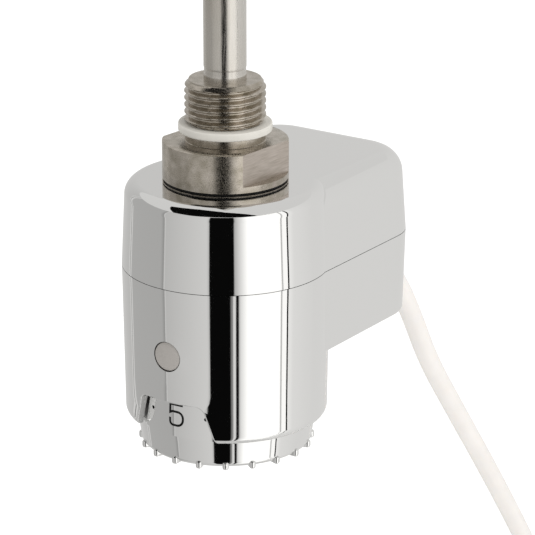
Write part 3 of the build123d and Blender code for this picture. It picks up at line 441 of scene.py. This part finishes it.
# ---- Chrome shells ----
# Two shells of ABS plated with bright chrome meet at a fine parting line: the upper one carries
# the swivel bush, the lower one the window, the lens and the lead. Four screws hold them.
chrome = plain_material("bright_chrome", (0.80, 0.80, 0.795), 0.03, metallic=1.0)
vary_roughness(chrome, grain(chrome, 260, detail=6), 0.012, 0.05)
relief(chrome, grain(chrome, 210, detail=1), 0.004 * mm, 0.5)
window_wall_radii = (23.7 * mm, 26.3 * mm)
window_wall_heights = (-73.6 * mm, -61.0 * mm)
window_wall_roughness = 0.45


def within(material, value, span):
    """One where the value lies in the span, and nothing elsewhere."""
    compare = material.node_tree.nodes.new("ShaderNodeMath")
    compare.operation = "COMPARE"
    compare.inputs[1].default_value = (span[0] + span[1]) / 2
    compare.inputs[2].default_value = (span[1] - span[0]) / 2
    material.node_tree.links.new(value, compare.inputs[0])
    return compare.outputs["Value"]


def dull_window_walls(material):
    """Makes the walls of the window rougher than the outside, where the plating is thin and unpolished."""
    nodes, links = material.node_tree.nodes, material.node_tree.links
    place = nodes.new("ShaderNodeTexCoord")
    flat = nodes.new("ShaderNodeVectorMath")
    flat.operation = "MULTIPLY"
    flat.inputs[1].default_value = (1, 1, 0)
    reach = nodes.new("ShaderNodeVectorMath")
    reach.operation = "LENGTH"
    parts = nodes.new("ShaderNodeSeparateXYZ")
    wall = nodes.new("ShaderNodeMath")
    wall.operation = "MULTIPLY"
    gloss = nodes.new("ShaderNodeMix")
    gloss.inputs["B"].default_value = window_wall_roughness
    links.new(place.outputs["Object"], flat.inputs[0])
    links.new(flat.outputs["Vector"], reach.inputs[0])
    links.new(place.outputs["Object"], parts.inputs["Vector"])
    links.new(within(material, reach.outputs["Value"], window_wall_radii), wall.inputs[0])
    links.new(within(material, parts.outputs["Z"], window_wall_heights), wall.inputs[1])
    links.new(wall.outputs["Value"], gloss.inputs["Factor"])
    roughness = nodes["Principled BSDF"].inputs["Roughness"]
    links.new(roughness.links[0].from_socket, gloss.inputs["A"])
    links.new(gloss.outputs["Result"], roughness)


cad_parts["upper_housing"].material_slots[0].material = chrome
windowed_chrome = chrome.copy()
windowed_chrome.name = "bright_chrome_windowed"
dull_window_walls(windowed_chrome)
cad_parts["lower_housing"].material_slots[0].material = windowed_chrome

# ---- Indicator lens ----
# A grey translucent polycarbonate button, frosted and slightly domed, pressed in from behind so
# that a fine dark gap shows round it. The lamp on the board shines through it.
lens_z = -51.55
lens_radius = 3.86
lens_rim_y = -26.52
frosted = moulded_plastic("lens_frosted", (0.375, 0.353, 0.33), 0.33, tint=0.96, texture=0.02 * mm)
frosted.node_tree.nodes["Principled BSDF"].inputs["Transmission Weight"].default_value = 0.08
lens_outline = [
    (0.001, 0.34, 0), (1.4, 0.30, 1.0), (2.7, 0.17, 1.5), (lens_radius - 0.12, 0.0, 0.3), (lens_radius, -0.25, 0.12),
    (lens_radius, -2.6, 0), (4.8, -2.7, 0.1), (4.8, -3.6, 0.1), (0.001, -3.6, 0),
]
lens_mesh = lathe("indicator_button", lens_outline, Vector((0, lens_rim_y * mm, lens_z * mm)), Vector((0, -1, 0)), 72)
solid_piece("indicator_button", lens_mesh, frosted, "head", ("indicator_lens",))

# ---- Knob ----
# A cup of the same chrome-plated ABS on the dial's spindle. Its numbered band shows through the
# window, and small nubs round its foot give the fingers a grip.
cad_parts["knob"].material_slots[0].material = chrome
number_pitch = radians(41.0)
shown_number = 5
shown_offset = radians(1.1)
knob_radius = 23.4
number_middle_z = -68.55
dot_radius = 0.48
stroke_half_width = 0.31
# strokes of each numeral in millimetres about its middle, as (x, y, corner radius)
numerals = [
    [[(0, 2.87, 0), (2, 2.87, 1.8), (2, -2.87, 1.8), (-2, -2.87, 1.8), (-2, 2.87, 1.8), (0, 2.87, 0)]],
    [[(-1.4, 1.7, 0), (0.4, 2.87, 0), (0.4, -2.87, 0)]],
    [[(-2, 1.2, 0), (-2, 2.87, 1.6), (2, 2.87, 1.8), (2, 0.6, 1.2), (-2, -2.87, 0), (2, -2.87, 0)]],
    [[
        (-1.9, 2.87, 0), (2, 2.87, 0), (-0.2, 0.6, 0), (2, 0.6, 1.6), (2, -2.87, 1.8), (-2, -2.87, 1.8),
        (-2, -1.1, 0),
    ]],
    [[(0.6, 2.87, 0), (-2, -1.1, 0), (2, -1.1, 0)], [(1.1, 0.9, 0), (1.1, -2.87, 0)]],
    [[
        (2, 2.87, 0), (-1.85, 2.87, 0), (-1.95, 0.5, 0), (-1.2, 0.9, 0.6), (2, 0.9, 1.8), (2, -2.87, 1.8),
        (-2, -2.87, 1.8), (-2, -0.9, 0),
    ]],
    [[(1.4, 2.87, 0), (-2, 0.4, 1.2), (-2, -2.87, 1.8), (2, -2.87, 1.8), (2, 0.7, 1.7), (-1.9, 0.7, 0)]],
]
ink_thickness = 0.03
ink_slice = 0.25
ink = moulded_plastic("dial_ink", (0.006, 0.006, 0.006), 0.75)
ink.node_tree.nodes["Principled BSDF"].inputs["Specular IOR Level"].default_value = 0.15


def wrap_on_knob(form, angle):
    """Bends flat artwork in millimetres round the knob's band, its middle at an angle from the front."""
    for axis_step in range(-30, 31):
        bmesh.ops.bisect_plane(
            form, geom=form.verts[:] + form.edges[:] + form.faces[:],
            plane_co=(axis_step * ink_slice, 0, 0), plane_no=(1, 0, 0),
        )
    for vertex in form.verts:
        turn = angle + vertex.co.x / knob_radius
        radius = (knob_radius + vertex.co.z) * mm
        vertex.co = Vector((radius * sin(turn), -radius * cos(turn), (number_middle_z + vertex.co.y) * mm))


def lay_stroke(form, points):
    """Lays a stroke of even width along points, with mitred corners, as flat faces in millimetres."""
    line = [Vector((x, y, 0)) for x, y in points]
    along = [(after - before).normalized() for before, after in zip(line, line[1:])]
    edge = []
    for index, point in enumerate(line):
        arriving, leaving = along[max(index - 1, 0)], along[min(index, len(along) - 1)]
        middle = (arriving + leaving).normalized()
        reach = stroke_half_width / max(middle.dot(leaving), 0.45)
        across = Vector((-middle.y, middle.x, 0)) * reach
        edge.append((form.verts.new(point + across), form.verts.new(point - across)))
    for (left, right), (next_left, next_right) in zip(edge, edge[1:]):
        form.faces.new((left, right, next_right, next_left))


def flat_artwork(number):
    """A numeral, or a dot where there is no number, as flat faces in millimetres centred on the origin."""
    form = bmesh.new()
    if number is None:
        bmesh.ops.create_circle(form, cap_ends=True, segments=24, radius=dot_radius)
    else:
        for stroke in numerals[number]:
            lay_stroke(form, rounded(stroke, closed=False))
    return form


dial_marks = bmesh.new()
for number in range(7):
    for artwork, lag in ((flat_artwork(number), 0), (flat_artwork(None), 0.5)):
        extruded = bmesh.ops.extrude_face_region(artwork, geom=artwork.faces[:])
        for vertex in extruded["geom"]:
            if isinstance(vertex, bmesh.types.BMVert):
                vertex.co.z += ink_thickness
        for vertex in artwork.verts:
            vertex.co.z -= ink_thickness * 0.3
        wrap_on_knob(artwork, shown_offset + (number + lag - shown_number) * number_pitch)
        bmesh.ops.recalc_face_normals(artwork, faces=artwork.faces)
        printed = bpy.data.meshes.new("printed")
        artwork.to_mesh(printed)
        artwork.free()
        dial_marks.from_mesh(printed)
        bpy.data.meshes.remove(printed)
marks_mesh = bpy.data.meshes.new("dial_numbers")
dial_marks.to_mesh(marks_mesh)
dial_marks.free()
solid_piece("dial_numbers", marks_mesh, ink, "knob")

# ---- Inside the head, and the fasteners ----
# What the head holds to work: a chassis with its board, relay, supply, fuse and dial sensor, the
# terminal block and the clamp on the lead. All of it is seen only when the head is opened.
steel = plain_material("zinc_steel", (0.60, 0.61, 0.62), 0.3, metallic=1.0)
vary_colour(steel, grain(steel, 700), (0.48, 0.49, 0.50), (0.66, 0.67, 0.68))
vary_roughness(steel, grain(steel, 2400), 0.22, 0.42)
relief(steel, grain(steel, 3000), 0.008 * mm)
tinned = plain_material("nickel_pin", (0.68, 0.66, 0.62), 0.22, metallic=1.0)
vary_colour(tinned, grain(tinned, 500), (0.58, 0.56, 0.52), (0.72, 0.70, 0.66))
vary_roughness(tinned, grain(tinned, 1800), 0.16, 0.34)
finishes = {
    "spring_steel": steel,
    "nickel_pin": tinned,
    "heater_ceramic": moulded_plastic("magnesia_ceramic", (0.70, 0.67, 0.60), 0.7, texture=0.03 * mm),
    "black_plastic": moulded_plastic("nylon_black", (0.02, 0.02, 0.021), 0.45, tint=0.8),
    "silicone_red": moulded_plastic("silicone_red", (0.42, 0.05, 0.035), 0.5),
    "cord_white": lead_white,
    "board_green": moulded_plastic("board_green", (0.02, 0.13, 0.06), 0.35, tint=0.7),
    "relay_blue": moulded_plastic("relay_blue", (0.03, 0.12, 0.35), 0.4),
    "capacitor_sleeve": moulded_plastic("capacitor_sleeve", (0.03, 0.035, 0.06), 0.3),
    "fuse_glass": moulded_plastic("fuse_sleeve", (0.55, 0.52, 0.45), 0.25),
    "terminal_green": moulded_plastic("terminal_green", (0.05, 0.28, 0.12), 0.45),
    "core_brown": moulded_plastic("core_brown", (0.16, 0.07, 0.035), 0.42),
    "bush_natural": moulded_plastic("acetal_natural", (0.72, 0.70, 0.64), 0.45),
    "black_rubber": nitrile,
    "lens_grey": frosted,
    "tie_white": moulded_plastic("tie_white", (0.78, 0.77, 0.74), 0.55),
    "plug_white": moulded_plastic("plug_white", (0.80, 0.785, 0.755), 0.38),
    "chrome_knob": chrome,
    "stainless_sheath": stainless,
    "nickel_brass": nickel,
}
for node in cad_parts.values():
    for holder in node.material_slots:
        if holder.material.name in finishes:
            holder.material = finishes[holder.material.name]

# ---- Studio ----
# A white sweep of floor under an even sky, and a ring of curved cards round the head that only the
# bright metal sees: grey and white cards with narrow gaps, and a black one in front.
floor_z = -0.362
floor_half = 12.0
card_radius = 0.55
card_inner_radius = 0.16
card_fold = -0.20
card_top = 0.30
card_step = 0.5
# (degrees round from the camera, brightness) along the edges of the cards; near zero is a gap
left_cards = [
    (-180, 0.66), (-131, 0.57), (-131, 0.72), (-128.5, 0.72), (-128.5, 0.2), (-127.5, 0.2), (-127.5, 0.72),
    (-124.5, 0.72), (-124.5, 0.48), (-74, 0.47), (-70.5, 0.36), (-69.5, 0.36), (-69.5, 0.66), (-68, 0.66),
    (-68, 0.57), (-20, 0.73), (-17.5, 0.6), (-16.6, 0.003),
]
right_cards = [
    (17, 0.9), (24, 1.3), (62.5, 1.3), (62.5, 0.62), (64.5, 0.62), (64.5, 1.2), (70.5, 1.2), (70.5, 0.02),
    (72.5, 0.02), (72.5, 1.0), (80, 0.86), (110, 0.79), (140, 0.77), (180, 0.70),
]
high_cards = left_cards + [(9, 0.003), (10, 0.5)] + right_cards
low_cards = left_cards + [
    (5, 0.003), (6.5, 0.25), (8, 0.3), (8.5, 0.8), (11, 0.8), (11.5, 0.01), (14, 0.01), (15, 0.66),
] + right_cards
# brightness of the disc under the head: painted shade, standing in for the floor in the head's own shadow
floor_shade_glow = 0.66
ceiling_glow = 0.74
edge_glow = 0.06
slot_glow = 0.003
# the dark gap in the ceiling, as metres to the right of the camera and towards it
ceiling_gap = [(-0.60, 0.345), (-0.25, 0.46), (0, 0.515), (0.42, 0.5), (0, 0.107), (-0.082, -0.014), (-0.2, -0.058)]


def card_brightness(edges, angle):
    """Brightness of the ring of cards at an angle round from the camera."""
    for (before, low), (after, high) in zip(edges, edges[1:]):
        if before <= angle < after:
            return low + (high - low) * (angle - before) / (after - before)
    return edges[-1][1]


def glowing(name):
    """A material that only shines, by the mesh's own colour."""
    material = bpy.data.materials.new(name)
    material.use_nodes = True
    nodes, links = material.node_tree.nodes, material.node_tree.links
    nodes.remove(nodes["Principled BSDF"])
    shine = nodes.new("ShaderNodeEmission")
    source = nodes.new("ShaderNodeAttribute")
    source.attribute_name = "glow"
    links.new(source.outputs["Color"], shine.inputs["Color"])
    links.new(shine.outputs["Emission"], nodes["Material Output"].inputs["Surface"])
    return material


def glow_piece(name, form, material):
    """Puts a card where only the bright metal sees it."""
    mesh = bpy.data.meshes.new(name)
    form.to_mesh(mesh)
    form.free()
    mesh.materials.append(material)
    card = bpy.data.objects.new(name, mesh)
    bpy.context.collection.objects.link(card)
    card.visible_camera = False
    card.visible_diffuse = False
    card.visible_shadow = False
    card.visible_transmission = False


def shine_evenly(form, face, level):
    """Gives a face its brightness, a little warm."""
    glow = form.loops.layers.float_color.verify()
    for loop in face.loops:
        loop[glow] = (level, level * 0.992, level * 0.975, 1)


def card_ring(name, rows, brightness, material):
    """A band of card round the head. rows are (radius, z) in metres, brightness a function of the angle."""
    angles = [-180 + card_step * step for step in range(round(360 / card_step) + 1)]
    form = bmesh.new()
    form.loops.layers.float_color.new("glow")
    grid = []
    for radius, z in rows:
        row = []
        for angle in angles:
            turn = camera_azimuth + radians(angle)
            row.append(form.verts.new((radius * sin(turn), -radius * cos(turn), z)))
        grid.append(row)
    for lower, upper in zip(grid, grid[1:]):
        for step in range(len(angles) - 1):
            level = brightness((angles[step] + angles[step + 1]) / 2)
            if level is not None:
                face = form.faces.new((lower[step], lower[step + 1], upper[step + 1], upper[step]))
                shine_evenly(form, face, level)
    glow_piece(name, form, material)


card_glow = glowing("card_glow")
card_ring(
    "low_cards", [(card_inner_radius, floor_z + 0.001), (card_radius, floor_z + 0.001), (card_radius, card_fold)],
    lambda angle: card_brightness(low_cards, angle), card_glow,
)
card_ring(
    "high_cards", [(card_radius, card_fold), (card_radius, card_top)],
    lambda angle: card_brightness(high_cards, angle), card_glow,
)
card_ring(
    "card_rim", [(card_radius - 0.002, card_top - 0.01), (card_radius - 0.002, card_top - 0.004)],
    lambda angle: edge_glow if 38 < angle < 72.5 else None, card_glow,
)
# painted shade: a dimmer glowing disc under the head that the chrome sees in place of the floor, standing in for the
# floor in the head's own shadow
card_ring(
    "floor_shade_card", [(0.001, floor_z + 0.001), (card_inner_radius, floor_z + 0.001)],
    lambda angle: floor_shade_glow, card_glow,
)
card_ring("ceiling", [(0.9, 0.42), (0.001, 0.75)], lambda angle: ceiling_glow, card_glow)
gap = bmesh.new()
gap.loops.layers.float_color.new("glow")
gap_face = gap.faces.new([
    gap.verts.new((
        across * cos(camera_azimuth) + towards * sin(camera_azimuth),
        across * sin(camera_azimuth) - towards * cos(camera_azimuth), card_top,
    ))
    for across, towards in ceiling_gap
])
shine_evenly(gap, gap_face, slot_glow)
glow_piece("ceiling_gap", gap, card_glow)

floor_mesh = bpy.data.meshes.new("floor")
floor_mesh.from_pydata(
    [(x * floor_half, y * floor_half, floor_z) for x, y in ((-1, -1), (1, -1), (1, 1), (-1, 1))], [], [(0, 1, 2, 3)],
)
floor = bpy.data.objects.new("floor", floor_mesh)
bpy.context.collection.objects.link(floor)
floor_white = plain_material("floor_white", (0.9, 0.9, 0.9), 0.9)
floor_white.node_tree.nodes["Principled BSDF"].inputs["Emission Color"].default_value = (1, 1, 1, 1)
floor_white.node_tree.nodes["Principled BSDF"].inputs["Emission Strength"].default_value = 0.3
floor_mesh.materials.append(floor_white)

world = bpy.data.worlds.new("even_sky")
world.use_nodes = True
world.node_tree.nodes["Background"].inputs["Color"].default_value = (1, 0.995, 0.985, 1)
world.node_tree.nodes["Background"].inputs["Strength"].default_value = 0.85
bpy.context.scene.world = world


def soft_lamp(name, place, aim, size, power):
    """A large soft lamp that the bright metal doesn't mirror."""
    lamp = bpy.data.lights.new(name, "AREA")
    lamp.size = size
    lamp.energy = power
    holder = bpy.data.objects.new(name, lamp)
    holder.location = place
    holder.rotation_euler = (Vector(aim) - Vector(place)).to_track_quat("-Z", "Y").to_euler()
    holder.visible_glossy = False
    bpy.context.collection.objects.link(holder)


soft_lamp("key_lamp", (1.3, -0.2, 1.3), (0, 0.03, -0.05), 0.8, 14)
bpy.context.scene.view_settings.view_transform = "Standard"

# ---- Final update ----
bpy.context.view_layer.update()
